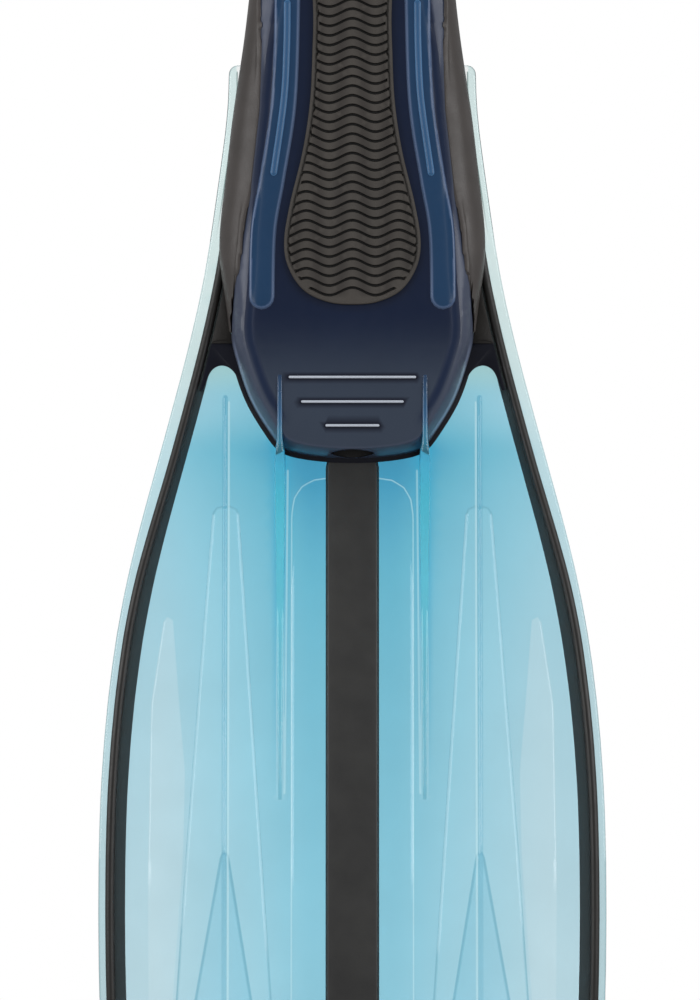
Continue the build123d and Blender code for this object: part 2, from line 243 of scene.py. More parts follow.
def painted(s, spread):
    """The piece's painted colours, with their painted highlights and painted shade, made a little uneven."""
    colour = s.nodes.new("ShaderNodeAttribute")
    colour.attribute_name = "paint"
    cloud = s.nodes.new("ShaderNodeHueSaturation")
    s.links.new(colour.outputs["Color"], cloud.inputs["Color"])
    s.links.new(s.spread(s.noise(22, 4), 0.3, 0.7, 1 - spread, 1 + spread), cloud.inputs["Value"])
    s.link(cloud.outputs["Color"], "Base Color")


def painted_clear(name, roughness, transmission):
    """See-through plastic, with faint flow marks and colours from the piece."""
    s = Shader(name)
    painted(s, 0.03)
    s.roughness(90, roughness - 0.02, roughness + 0.03)
    s.bump(s.noise(26, 2), 0.04, 0.0005)
    s.set(IOR=1.45, Transmission_Weight=transmission)
    return s.material


def rib_plastic(name):
    """See-through plastic that is milky over the dark sole plate."""
    s = Shader(name)
    painted(s, 0.03)
    s.roughness(90, 0.08, 0.13)
    s.link(s.spread(s.along("Y"), 0.010, 0.024, 0.92, 0.55), "Transmission Weight")
    s.bump(s.noise(26, 2), 0.04, 0.0005)
    s.set(IOR=1.45)
    return s.material


def painted_plastic(name, roughness):
    s = Shader(name)
    painted(s, 0.06)
    s.roughness(240, roughness - 0.02, roughness + 0.05)
    s.bump(s.noise(48, 2), 0.05, 0.0006)
    s.set(Coat_Weight=0.1, Coat_Roughness=0.25, IOR=1.45, Specular_IOR_Level=0.4)
    return s.material


def painted_rubber(name, roughness):
    s = Shader(name)
    painted(s, 0.10)
    s.roughness(140, roughness - 0.05, roughness + 0.07)
    s.bump(s.noise(1400, 2), 0.22, 0.0003)
    s.set(Specular_IOR_Level=0.4)
    return s.material


# --- Plane geometry, in millimetres ---
def resampled(points, gap, closed=True):
    """Points at an even gap along a line of straight pieces."""
    points = np.array(points, float)
    if closed:
        points = np.vstack([points, points[:1]])
    steps = np.hypot(*np.diff(points, axis=0).T)
    along = np.concatenate([[0], np.cumsum(steps)])
    count = max(3, int(round(along[-1] / gap)))
    wanted = np.linspace(0, along[-1], count + 1)[: count if closed else count + 1]
    return np.column_stack([np.interp(wanted, along, points[:, i]) for i in (0, 1)])


def rounded(points, radius, steps=5):
    """A closed polygon with its corners cut round."""
    out = []
    count = len(points)
    for i in range(count):
        before, here, after = (np.array(points[(i + k) % count], float) for k in (-1, 0, 1))
        to_before, to_after = before - here, after - here
        reach = min(radius, 0.45 * np.hypot(*to_before), 0.45 * np.hypot(*to_after))
        start = here + to_before / np.hypot(*to_before) * reach
        end = here + to_after / np.hypot(*to_after) * reach
        for t in np.linspace(0, 1, steps):
            out.append((1 - t) ** 2 * start + 2 * t * (1 - t) * here + t * t * end)
    return np.array(out)


def smooth_line(points, gap, closed=False):
    """A smooth curve through points, as close points."""
    points = np.array(points, float)
    count = len(points)
    rows = []
    for i in range(count if closed else count - 1):
        ids = [i - 1, i, i + 1, i + 2]
        p0, p1, p2, p3 = (points[k % count] if closed else points[min(max(k, 0), count - 1)] for k in ids)
        t = np.linspace(0, 1, 12, endpoint=False)[:, None]
        bend = 2 * p0 - 5 * p1 + 4 * p2 - p3 + t * (3 * (p1 - p2) + p3 - p0)
        rows.append(p1 + 0.5 * t * (p2 - p0 + t * bend))
    if not closed:
        rows.append(points[-1:])
    return resampled(np.vstack(rows), gap, closed)


def mirrored(points):
    """The same outline on the other side, running the same way round."""
    return np.array(points)[::-1] * (-1, 1)


def area(points):
    """Positive for an outline that runs anticlockwise."""
    x, y = np.array(points).T
    return 0.5 * np.sum(x * np.roll(y, -1) - y * np.roll(x, -1))


def inset(points, distance):
    """A closed outline moved inwards by a number or by an array, one value a point."""
    points = np.array(points, float)
    way = np.roll(points, -1, 0) - np.roll(points, 1, 0)
    way /= np.maximum(np.hypot(*way.T), 1e-9)[:, None]
    inward = np.column_stack([-way[:, 1], way[:, 0]]) * np.sign(area(points))
    return points + inward * np.reshape(distance, (-1, 1))


def inside(points, outline):
    """Which points lie inside a closed outline."""
    x, y = points.T
    hit = np.zeros(len(points), bool)
    for (x0, y0), (x1, y1) in zip(outline, np.roll(outline, -1, 0)):
        if y0 == y1:
            continue
        crosses = (y0 > y) != (y1 > y)
        hit ^= crosses & (x < (x1 - x0) * (y - y0) / (y1 - y0) + x0)
    return hit


def gap_to(points, line, closed=True):
    """Distance from each point to a line of straight pieces."""
    line = np.array(line, float)
    starts, ends = (line, np.roll(line, -1, 0)) if closed else (line[:-1], line[1:])
    best = np.full(len(points), 1e9)
    for a, b in zip(starts, ends):
        along = b - a
        t = np.clip(((points - a) @ along) / max(along @ along, 1e-12), 0, 1)
        best = np.minimum(best, np.hypot(*(points - a - t[:, None] * along).T))
    return best


def depth_in(points, outline):
    """How far inside a closed outline each point is; negative outside it."""
    return np.where(inside(points, outline), 1, -1) * gap_to(points, outline)


def directions(line):
    """The unit direction of a line at each of its points."""
    way = np.gradient(line, axis=0)
    return way / np.hypot(*way.T)[:, None]


def circle(count):
    """Cosines and sines of a full turn in even steps."""
    turn = np.linspace(0, 2 * math.pi, count, endpoint=False)
    return np.cos(turn), np.sin(turn)


def ease(value):
    """From 0 to 1, clamped, with a soft start and end."""
    value = np.clip(value, 0, 1)
    return value * value * (3 - 2 * value)


# --- Meshes ---
def new_piece(name, vertices, faces, sharp=32):
    mesh = bpy.data.meshes.new(name)
    mesh.from_pydata([tuple(v) for v in vertices], [], [tuple(map(int, f)) for f in faces])
    bm = bmesh.new()
    bm.from_mesh(mesh)
    bmesh.ops.remove_doubles(bm, verts=bm.verts, dist=0.002 * MM)
    bmesh.ops.recalc_face_normals(bm, faces=bm.faces)
    bm.to_mesh(mesh)
    bm.free()
    piece = new_object(name, mesh)
    shade(piece, sharp)
    return piece


def sheet_cells(outline, holes, creases, gap):
    """Triangles that fill an outline, whose edges follow the outline, the holes and the creases."""
    lines = [outline, *holes, *creases]
    low, high = outline.min(0), outline.max(0)
    xs, ys = np.arange(low[0], high[0], gap), np.arange(low[1], high[1], gap * 0.866)
    grid = np.array([(x + gap / 2 * (j % 2), y) for j, y in enumerate(ys) for x in xs])
    keep = depth_in(grid, outline) > 0.4 * gap
    for line in lines[1:]:
        keep &= gap_to(grid, line) > 0.4 * min(gap, 2.0)
    spots = [tuple(p) for p in grid[keep]]
    edges = []
    for line in lines:
        first = len(spots)
        spots += [tuple(p) for p in line]
        edges += [(first + i, first + (i + 1) % len(line)) for i in range(len(line))]
    spots, _, faces, _, _, _ = delaunay_2d_cdt([Vector(p) for p in spots], edges, [], 0, 1e-4)
    spots = np.array(spots)
    faces = np.array([f for f in faces if len(f) == 3])
    middles = spots[faces].mean(1)
    keep = inside(middles, outline)
    for hole in holes:
        keep &= ~inside(middles, hole)
    return spots, faces[keep]


def slab(name, outline, holes, creases, gap, low, high, sharp=14):
    """A closed piece between two heights, low and high, which are functions of the points in plan."""
    spots, faces = sheet_cells(outline, holes, creases, gap)
    used, faces = np.unique(faces, return_inverse=True)
    faces = faces.reshape(-1, 3)
    spots = spots[used]
    count = len(spots)
    rims = {}
    for a, b, c in faces:
        for edge in ((a, b), (b, c), (c, a)):
            if edge[::-1] in rims:
                del rims[edge[::-1]]
            else:
                rims[edge] = True
    walls = [(a, b, b + count, a + count) for a, b in rims]
    vertices = np.vstack([np.column_stack([spots, low(spots)]), np.column_stack([spots, high(spots)])])
    return new_piece(name, vertices * MM, [*faces[:, ::-1], *(faces + count), *walls], sharp)


def swept(name, rows, closed=False):
    """A tube through rows of the same number of points, with capped ends, or joined into a ring if closed."""
    rows = np.array(rows, float)
    count, points = rows.shape[:2]
    faces = []
    for i in range(count if closed else count - 1):
        here, there = i * points, (i + 1) % count * points
        faces += [
            (here + j, here + (j + 1) % points, there + (j + 1) % points, there + j) for j in range(points)
        ]
    if not closed:
        last = (count - 1) * points
        faces += [tuple(range(points)), tuple(range(last, last + points))[::-1]]
    return new_piece(name, rows.reshape(-1, 3) * MM, faces)


def shade(piece, angle=32):
    """Smooth shading, with the edges that are sharper than angle kept."""
    piece.data.shade_smooth()
    piece.data.set_sharp_from_angle(angle=math.radians(angle))


def apply_modifiers(piece):
    graph = bpy.context.evaluated_depsgraph_get()
    graph.update()
    mesh = bpy.data.meshes.new_from_object(piece.evaluated_get(graph))
    piece.modifiers.clear()
    piece.data = mesh


def bevelled(piece, width):
    """The piece with its sharp edges rounded."""
    modifier = piece.modifiers.new("bevel", "BEVEL")
    modifier.width = width * MM
    modifier.segments = 2
    modifier.limit_method = "ANGLE"
    modifier.angle_limit = math.radians(28)
    apply_modifiers(piece)
    shade(piece)
    return piece


def cleaned_copy(node, bevel):
    """The CAD node's own shape as a new piece, with its flat faces joined up and its edges rounded."""
    bm = bmesh.new()
    bm.from_mesh(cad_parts[node].data)
    bmesh.ops.remove_doubles(bm, verts=bm.verts, dist=0.01 * MM)
    bmesh.ops.dissolve_limit(bm, angle_limit=math.radians(0.6), verts=bm.verts, edges=bm.edges)
    mesh = bpy.data.meshes.new(node)
    bm.to_mesh(mesh)
    bm.free()
    return bevelled(new_object(node + "_piece", mesh), bevel)


def place(piece, material, slot, *nodes):
    piece.data.materials.clear()
    piece.data.materials.append(material)
    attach(piece, "root")
    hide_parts(*nodes)


# --- Measures of the CAD model, in millimetres ---
def tree_of(*nodes):
    bm = bmesh.new()
    for node in nodes:
        bm.from_mesh(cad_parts[node].data)
    tree = BVHTree.FromBMesh(bm)
    bm.free()
    return tree


def hit(tree, start, way):
    """Where a ray from start meets the shape, or None."""
    place_hit = tree.ray_cast(Vector(start) * MM, Vector(way).normalized())[0]
    return None if place_hit is None else np.array(place_hit) / MM


BLADE_TREE = tree_of("blade")
POCKET_TREE = tree_of("pocket_rand", "pocket_upper")
BLADE_LOW, BLADE_HIGH = (np.array(c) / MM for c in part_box("blade"))


def blade_levels():
    """Heights of the blade's plain underside and top along the fin. Its raised work only hangs lower."""
    rows = []
    for y in np.linspace(BLADE_LOW[1] + 9, BLADE_HIGH[1] - 2, 90):
        unders, overs = [], []
        for x in np.arange(16, 106, 4.0):
            below, above = hit(BLADE_TREE, (x, y, -20), (0, 0, 1)), hit(BLADE_TREE, (x, y, 80), (0, 0, -1))
            if below is not None and above is not None:
                unders.append(below[2])
                overs.append(above[2])
        if unders:
            rows.append((y, max(unders), max(overs)))
    rows = np.array(rows)
    thick = rows[:, 2] - rows[:, 1]
    plain = [t > 0.97 * np.median(thick[max(i - 8, 0) : i + 9]) for i, t in enumerate(thick)]
    return rows[plain]


LEVELS = blade_levels()


def stretched(y, column):
    """A level at y, carried on straight past the first and last rows."""
    ys, zs = LEVELS[:, 0], LEVELS[:, column]
    z = np.interp(y, ys, zs)
    start, end = (zs[1] - zs[0]) / (ys[1] - ys[0]), (zs[-1] - zs[-2]) / (ys[-1] - ys[-2])
    return z + np.where(y < ys[0], (y - ys[0]) * start, 0) + np.where(y > ys[-1], (y - ys[-1]) * end, 0)


def under(y):
    return stretched(y, 1)


def over(y):
    return stretched(y, 2)


def blade_side():
    """The blade's right edge, from the rear of the flange round to the middle of the tip."""
    rows = []
    rear = BLADE_HIGH[1] - 0.02
    centre_y = BLADE_LOW[1] + 75
    for y in np.concatenate([rear - np.array([0, 0.3, 0.9, 1.8, 3]), np.arange(rear - 5, centre_y, -3)]):
        spot = hit(BLADE_TREE, (200, y, (under(y) + over(y)) / 2), (-1, 0, 0))
        if spot is not None:
            rows.append(spot[:2])
    slope = (over(centre_y) - over(centre_y - 60)) / 60
    for angle in np.radians(np.arange(0, -90.1, -2.0)):
        way = (math.cos(angle), math.sin(angle), slope * math.sin(angle))
        start = np.array([0, centre_y, (under(centre_y) + over(centre_y)) / 2])
        spot = hit(BLADE_TREE, start + np.array(way) * 200, -np.array(way))
        if spot is not None:
            rows.append(spot[:2])
    rows[-1][0] = 0
    return np.array(rows)


EDGE = blade_side()


# --- Plans of the moulded work, in millimetres: right halves, from the heel to the toe ---
SOLE_EDGE = [
    (0, 294), (17, 290), (29.5, 276), (35.6, 255), (38.2, 228), (40.3, 200), (42.2, 172), (44.6, 150),
    (47.0, 128), (49.2, 104), (51.0, 84), (51.2, 68), (48.2, 54), (42.6, 38), (34.6, 24.6),
    (29.4, 18.4), (21, 15.6), (10, 14.3), (0, 14),
]
TREAD_EDGE = [
    (0, 283), (13, 279.5), (21.5, 268), (23.6, 252), (20.8, 233), (17.6, 216), (16.5, 200), (16.8, 184),
    (17.8, 163), (20.9, 142), (26.2, 120), (28.7, 104), (26.9, 93), (20.5, 83.5), (10.5, 78.6), (0, 77.5),
]
SOLE_Z = 2.6  # the sole plate's flat underside
SOLE_TOP_Z = 21.5  # where its leaning wall would meet the blade
SOLE_RIM_Z = 10.0  # where the wall stops beside the arch and heel
SOLE_FLOOR_Z = 5.6
PAD_PATH = [(27.4, 240), (27.3, 206), (28.8, 163), (33.6, 131), (37.3, 109), (38.1, 81)]
PAD_WIDTH, PAD_PROUD = 10.4, 1.1
RIDGE_PATH = [(27.3, 204), (27.6, 184), (28.8, 163), (33.0, 133)]
RIDGE_WIDTH, RIDGE_PROUD, RIDGE_EDGE = 2.6, 0.9, 0.9
CROSS_RIBS = [(47.2, 52.4), (36.9, 42.0), (26.9, 21.6)]  # (y, length)
CROSS_RIB_RADIUS = 0.75
GROOVE_PITCH, GROOVE_WIDTH, GROOVE_DEPTH = 4.03, 1.25, 1.5
WAVE_LENGTH, WAVE_HEIGHT = 19.3, 1.6
FACET_END_Y = -284.0
WEDGE = [(48.2, -7), (59, -7), (62.9, -57), (69.9, -152), (78.6, FACET_END_Y), (29.4, FACET_END_Y),
         (40.9, -114)]
NOTCH = [(52.4, -152.5), (55.2, -152.5), (66.2, -214.5), (78, -280), (30, -280), (42.3, -214.5)]
OUTER = [(76.2, -54), (79.4, -54), (84.9, -91), (85.9, -160), (85, -268), (79.2, -268), (71.4, -152),
         (70.8, -119), (73.3, -91)]
PANEL = [(-25.8, FACET_END_Y), (25.8, FACET_END_Y), (25.8, 5), (-25.8, 5)]
THIN_RIB = [(54, 39), (54, -264)]
THIN_RIB_WIDTH, THIN_RIB_DEPTH = 1.9, 1.0
STRIP_HALF, STRIP_LIP = 10.7, 0.6
STRIP_REAR_Y, STRIP_FRONT_Y = 20.0, -271.0
KEEL_X = 30.5
KEEL_SIDE = [(-131, 9.3), (-128, 8.6), (-50, 12.2), (-8, 8.4), (8, 3.3), (16, 1.75), (42, 1.75), (46, 2.0),
             (49, 3.0)]  # (y, height of its lower edge)
KEEL_WIDTHS = [(-131, 1.6), (13, 4.6), (22, 2.2), (46, 2.0), (49, 1.4)]


def loop(half, gap):
    """A closed smooth outline from its right half, whose ends are on the middle line."""
    half = np.array(half, float)
    return smooth_line(np.vstack([half, mirrored(half[1:-1])]), gap, closed=True)


def ribbon(path, width, gap=1.6):
    """The outline of a bar along a smooth path, with round ends."""
    line = smooth_line(path, gap)
    way = directions(line)
    side = np.column_stack([-way[:, 1], way[:, 0]]) * width / 2
    caps = []
    for spot, along in ((line[-1], way[-1]), (line[0], -way[0])):
        start = math.atan2(along[1], along[0]) + math.pi / 2
        turns = start - np.linspace(0, math.pi, 9)[1:-1]
        caps.append(spot + np.column_stack([np.cos(turns), np.sin(turns)]) * width / 2)
    return np.vstack([line + side, caps[0], (line - side)[::-1], caps[1]])


def level(z):
    """A height that is the same all over a slab."""
    return lambda spots: np.full(len(spots), z)


def quarter_round(depth, radius):
    """From 0 at an edge to 1 at radius inside it, as a quarter circle."""
    share = np.clip(depth / radius, 0, 1)
    return np.sqrt(1 - (1 - share) ** 2)


def fold(spots):
    """The same points on the right-hand side."""
    return np.column_stack([np.abs(spots[:, 0]), spots[:, 1]])


def sides(line):
    return [np.array(line), mirrored(line)]


def paint(piece, colours):
    """Colours for a piece's material, from a function of its points in millimetres."""
    mesh = piece.data
    points = np.empty(len(mesh.vertices) * 3)
    mesh.vertices.foreach_get("co", points)
    rgb = colours(points.reshape(-1, 3) / MM)
    layer = mesh.color_attributes.new("paint", "FLOAT_COLOR", "POINT")
    layer.data.foreach_set("color", np.column_stack([rgb, np.ones(len(rgb))]).ravel())


def blend(stops, share):
    """Colours along a list of (share, screen colour)."""
    places = [s for s, _ in stops]
    rows = np.array([linear(*c) for _, c in stops])
    return np.column_stack([np.interp(share, places, rows[:, i]) for i in range(3)])


def over_paint(base, colour, share):
    return base + (np.array(linear(*colour)) - base) * np.clip(share, 0, 1)[:, None]


# --- Blade ---
def foot_gap():
    """The right half of the hole for the foot, from the flange's rear to the middle of the toe."""
    start_y = 101.0
    slope = (over(start_y) - over(start_y - 60)) / 60
    start = np.array([0, start_y, (under(start_y) + over(start_y)) / 2])
    rows = []
    rear = EDGE[0][1]
    for y in np.arange(rear - 0.1, start_y + 4, -8):
        rows.append(hit(BLADE_TREE, (0, y, (under(y) + over(y)) / 2), (1, 0, 0))[:2])
    for angle in np.radians(np.arange(0, -90.1, -5)):
        spot = hit(BLADE_TREE, start, (math.cos(angle), math.sin(angle), slope * math.sin(angle)))
        rows.append(spot[:2])
    rows[-1][0] = 0
    return np.vstack([[(rows[0][0], rear)], rows])


GAP = foot_gap()
BLADE_EDGE = np.vstack([EDGE, mirrored(EDGE)[1:], GAP * (-1, 1), GAP[::-1][1:]])
RIM = 0.9  # how far in the blade's edge is rounded
FACETS = [
    (resampled(rounded(WEDGE, 4), 3), 0.45),
    (resampled(rounded(NOTCH, 2), 3), -0.4),
    (resampled(rounded(OUTER, 3), 3), 0.3),
    (resampled(rounded(PANEL, 16), 3), 0.36),
]
FACET_SLOPE = 1.2
THIN_RIB_EDGE = ribbon(THIN_RIB, THIN_RIB_WIDTH, 6)
STRIP_ENDS = [(0, STRIP_REAR_Y - STRIP_HALF), (0, STRIP_FRONT_Y + STRIP_HALF)]
SLOT = ribbon(STRIP_ENDS, 2 * STRIP_HALF - 0.1, 4)


def blade_low(spots):
    right = fold(spots)
    drop = np.zeros(len(spots))
    for outline, height in FACETS:
        drop += height * np.clip(depth_in(right, outline) / FACET_SLOPE, 0, 1)
    drop += THIN_RIB_DEPTH * quarter_round(depth_in(right, THIN_RIB_EDGE), THIN_RIB_WIDTH / 2)
    return under(spots[:, 1]) - drop + RIM * (1 - quarter_round(gap_to(spots, BLADE_EDGE), RIM))


def blade_high(spots):
    return over(spots[:, 1]) - 0.8 * RIM * (1 - quarter_round(gap_to(spots, BLADE_EDGE), RIM))


def make_blade():
    creases = [inset(BLADE_EDGE, d) for d in (0.25, RIM)]
    for outline, _ in FACETS[:3]:
        for d in (-0.35, 0, 0.35, FACET_SLOPE):
            creases += sides(inset(outline, d))
    creases += [inset(FACETS[3][0], d) for d in (-0.3, 0, 0.3, 0.6, FACET_SLOPE)]
    for width in (THIN_RIB_WIDTH + 0.6, THIN_RIB_WIDTH, 1.1, 0.3):
        creases += sides(ribbon(THIN_RIB, width, 6))
    for line in (RIB_LINE, KEEL_LINE):
        for width in (0.5, 1.2):
            creases += sides(ribbon(line, width, 6))
    for width in (3.0, 3.6, 8.0):
        creases += sides(ribbon([(KEEL_X, 22), (KEEL_X, -128)], width, 5))
    for width in (0.25, 0.8):
        creases += sides(ribbon(FLANGE_LINE, width, 3))
    creases += [inset(SLOT, d) for d in (-0.25, -0.7)]
    piece = slab("blade_sheet", BLADE_EDGE, [SLOT], creases, 5.0, blade_low, blade_high)
    paint(piece, blade_colours)
    return piece


def flange_line():
    """Where the flange's inner side shows, from beside the rail to near its rear end."""
    line = EDGE[(EDGE[:, 1] > 104) & (EDGE[:, 1] < BLADE_HIGH[1] - 2.5) & (EDGE[:, 0] > 40)]
    reach = np.interp(line[:, 1], [104, 154, 172, 178], [2.5, 2.9, 3.7, 3.4])
    return line - np.column_stack([reach, np.zeros(len(line))])


FLANGE_LINE = flange_line()
RIB_LINE = [(52.4, 37), (52.4, -262)]  # where painted highlights run along the thin rib and the keel rib
KEEL_LINE = [(27.4, 8), (28.6, -128)]


def blade_colours(points):
    """Deep blue beside the toe and the strip, paler outwards and towards the tip."""
    x, y = np.abs(points[:, 0]), points[:, 1]
    spots = fold(points[:, :2])
    share = 0.55 * np.clip((16 - y) / 216, 0, 1.3) ** 0.45 + 0.45 * np.clip((x - 18) / 65, 0, 1)
    share += 0.34 * ease((y - 8) / 30)
    colours = blend([
        (0, (48, 140, 180)), (0.16, (74, 165, 200)), (0.3, (110, 190, 214)), (0.6, (150, 208, 226)),
        (1, (188, 220, 230)), (1.2, (196, 223, 231)),
    ], share)
    in_wedge = depth_in(spots, FACETS[0][0]) > -0.1
    in_notch = depth_in(spots, FACETS[1][0]) > -0.1
    in_outer = depth_in(spots, FACETS[2][0]) > -0.1
    colours = over_paint(colours, (172, 222, 236), 0.22 * (in_wedge & ~in_notch))
    colours = over_paint(colours, (120, 202, 228), 0.30 * in_notch)
    colours = over_paint(colours, (206, 229, 236), 0.35 * in_outer)
    # Painted shade: a thin dark line along the wedge's and the notch's steps, where the step bends the light.
    for facet, _ in FACETS[:2]:
        colours = over_paint(colours, (100, 170, 192), 0.55 * (np.abs(depth_in(spots, facet) - 0.17) < 0.25))
    # Painted highlights: thin pale lines along the panel's edge and round the slot's edge.
    panel_edge = depth_in(points[:, :2], FACETS[3][0])
    colours = over_paint(colours, (196, 234, 243), 0.6 * (np.abs(panel_edge - 0.15) < 0.2))
    colours = over_paint(colours, (190, 228, 238), 0.7 * (gap_to(points[:, :2], SLOT) < 0.3))
    thin = 0.65 - 0.4 * np.clip(-y / 200, 0, 1)
    colours = over_paint(colours, (86, 168, 196), thin * (depth_in(spots, THIN_RIB_EDGE) > -0.1))
    along = np.clip((20 - y) / 150, 0, 1)
    beside = np.abs(x - KEEL_X) - 1.6
    glow = np.clip(1 - beside / (4.2 - 3.2 * along), 0, 1) * (beside > 0) * np.clip(1.2 - 1.2 * along, 0, 1)
    colours = over_paint(colours, (60, 178, 214), 0.8 * glow * (y < 24))
    beneath = (beside < 0) & (y < 20) & (y > -130)
    colours = over_paint(colours, (226, 242, 246), (0.85 - 0.75 * along) * beneath)
    # Painted highlights along one side of the thin rib and of the keel rib.
    for line, strength in ((RIB_LINE, 0.5), (KEEL_LINE, 0.4)):
        colours = over_paint(colours, (206, 240, 246), strength * (gap_to(spots, line, closed=False) < 0.4))
    colours = over_paint(colours, (176, 214, 208), 0.6 * ease((y - 38) / 14))
    bare = np.clip((9 - gap_to(spots, EDGE, closed=False)) / 3, 0, 1)
    strip = blend([(0, (184, 208, 212)), (0.7, (214, 234, 236)), (1, (222, 239, 238))], (y + 200) / 300)
    colours = colours + (strip - colours) * (bare * (0.6 + 0.35 * np.clip((y + 10) / 90, 0, 1)))[:, None]
    # Painted highlight: the flange's inner side is painted near-white. Painted shade: a dark line along its
    # inner edge, in the gap beside the rand.
    inner = gap_to(spots, FLANGE_LINE, closed=False)
    line_x = np.interp(y, FLANGE_LINE[::-1, 1], FLANGE_LINE[::-1, 0])
    shown = ease((y - 104) / 24)
    colours = over_paint(colours, (252, 253, 253), 0.9 * shown * (x < line_x))
    colours = over_paint(colours, (96, 128, 124), 0.8 * shown * (inner < 0.2))
    # Painted shade: a thin dark line along the blade's outer edge, beside the rail and the flange.
    edge = gap_to(points[:, :2], BLADE_EDGE)
    return over_paint(colours, (128, 166, 172), 0.55 * (edge < 0.3) * (x > 40))


# --- Rubber along the blade ---
RAIL_INNER, BEAD_WIDTH, BEAD_DEPTH, CAP_HEIGHT = 11.2, 3.9, 2.4, 2.4
RAIL_REAR_Y, RAIL_TIP_Y, BEAD_FADE_Y = 112.0, -262.0, -205.0
WAY = {"left": -1, "right": 1}
SUNK = 0.1  # how deep one piece sits in the next, so that no faces meet edge on


def strip_of(y):
    """Width of the bare blade outside the rail."""
    return 2.9 + 1.6 * ease((y + 60) / 80)


def rows_along(path, span, heights):
    """Sections square to a line. span and heights give each point's distance to its side and its height."""
    rows = []
    for (x, y), (dx, dy) in zip(path, directions(path)):
        ins = np.array(span(y))
        plan = np.array([x, y]) + ins[:, None] * np.array([dy, -dx])
        rows.append(np.column_stack([plan, heights(plan[:, 1], y)]))
    return rows


def make_rail(side):
    path = smooth_line(EDGE[::3], 3.0)
    path = path[(path[:, 1] < RAIL_REAR_Y) & (path[:, 1] > RAIL_TIP_Y) & (path[:, 0] > 40)]
    turn = np.linspace(0, math.pi, 11)
    across, down = (1 - np.cos(turn)) / 2, np.sin(turn) ** 0.7

    def bead_span(y):
        return strip_of(y) + BEAD_WIDTH * np.concatenate([across, [0.75, 0.25]])

    def bead_heights(ys, y):
        depth = BEAD_DEPTH * (0.12 + 0.88 * ease((y - RAIL_TIP_Y) / (BEAD_FADE_Y - RAIL_TIP_Y)))
        return under(ys) + np.concatenate([SUNK - (depth + SUNK) * down, [0.6, 0.6]])

    def cap_span(y):
        wide = RAIL_INNER - strip_of(y)
        return strip_of(y) + wide * np.array([0, 0, 0.03, 0.09, 0.5, 0.91, 0.97, 1, 1, 0.66, 0.33])

    def cap_heights(ys, y):
        depth = CAP_HEIGHT * (0.25 + 0.75 * ease((y - RAIL_TIP_Y) / 16))
        shape = np.array([-0.04, 0.6, 0.84, 0.97, 1.0, 0.97, 0.84, 0.6, -0.04, -0.04, -0.04])
        return over(ys) + depth * shape

    bead = swept("bead", rows_along(path, bead_span, bead_heights))
    cap = swept("cap", rows_along(path, cap_span, cap_heights))
    return joined("side_rail_rubber_" + side, [bead, cap], side == "left")


def joined(name, pieces, flip=False):
    """Several pieces made into one, and moved to the left-hand side if flip is true."""
    bm = bmesh.new()
    for piece in pieces:
        bm.from_mesh(piece.data)
        bpy.data.objects.remove(piece)
    if flip:
        bmesh.ops.scale(bm, vec=(-1, 1, 1), verts=bm.verts)
    bmesh.ops.recalc_face_normals(bm, faces=bm.faces)
    mesh = bpy.data.meshes.new(name)
    bm.to_mesh(mesh)
    bm.free()
    piece = new_object(name, mesh)
    shade(piece)
    return piece


def make_strip():
    """The middle strip, which fills the blade's slot, with a crowned underside and a lip above the blade."""
    outline = ribbon(STRIP_ENDS, 2 * STRIP_HALF, 4)
    wide = ribbon(STRIP_ENDS, 2 * (STRIP_HALF + STRIP_LIP), 4)

    def low(spots):
        depth = gap_to(spots, outline)
        return under(spots[:, 1]) - 0.7 * quarter_round(depth, 0.8) - 0.06 * np.clip(depth / 10, 0, 1)

    def lip_high(spots):
        return over(spots[:, 1]) + 0.85 * quarter_round(gap_to(spots, wide) + 0.05, 0.8)

    rings = [inset(outline, d) for d in (0.12, 0.4, 0.8)]
    core = slab("core", outline, [], rings, 5.0, low, lambda spots: over(spots[:, 1]) + 0.3)
    rings = [inset(wide, d) for d in (0.12, 0.4, 0.8)]
    lips = slab("lips", wide, [], rings, 5.0, lambda spots: over(spots[:, 1]) - SUNK, lip_high)
    return joined("centre_strip_rubber", [core, lips])


def make_keel(side):
    """An upright rib from under the sole plate onto the blade, wide at the toe and narrow in front."""
    rows = []
    ys = np.concatenate([np.arange(48.6, 8, -2.0), np.arange(8, -130, -4.0), [-130.6]])
    for y in ys:
        low = np.interp(y, *np.array(KEEL_SIDE).T)
        half = np.interp(y, *np.array(KEEL_WIDTHS).T) / 2
        high = SOLE_Z + 0.4 + (under(y) - SOLE_Z) * ease((30 - y) / 9)
        low = min(low, high - 0.3)
        shoulder = min(0.45 * half + 0.25, (high - low) * 0.4)
        right = [(half * 0.4, low), (half * 0.82, low + shoulder * 0.35), (half, low + shoulder),
                 (half, high)]
        shape = [(-x, z) for x, z in right[::-1]] + right
        rows.append([(KEEL_X + x, y, z) for x, z in shape])
    piece = joined("keel_rib_plastic_" + side, [swept("rib", rows)], side == "left")
    paint(piece, keel_colours)
    return piece


def keel_colours(points):
    """Milky over the sole, deep cyan beside the toe, paler towards the far end."""
    y = points[:, 1]
    return blend([(0, (62, 92, 132)), (0.1, (78, 142, 196)), (0.17, (96, 206, 242)), (0.28, (108, 224, 243)),
                  (0.55, (150, 236, 248)), (1, (206, 242, 248))], (48 - y) / 180)


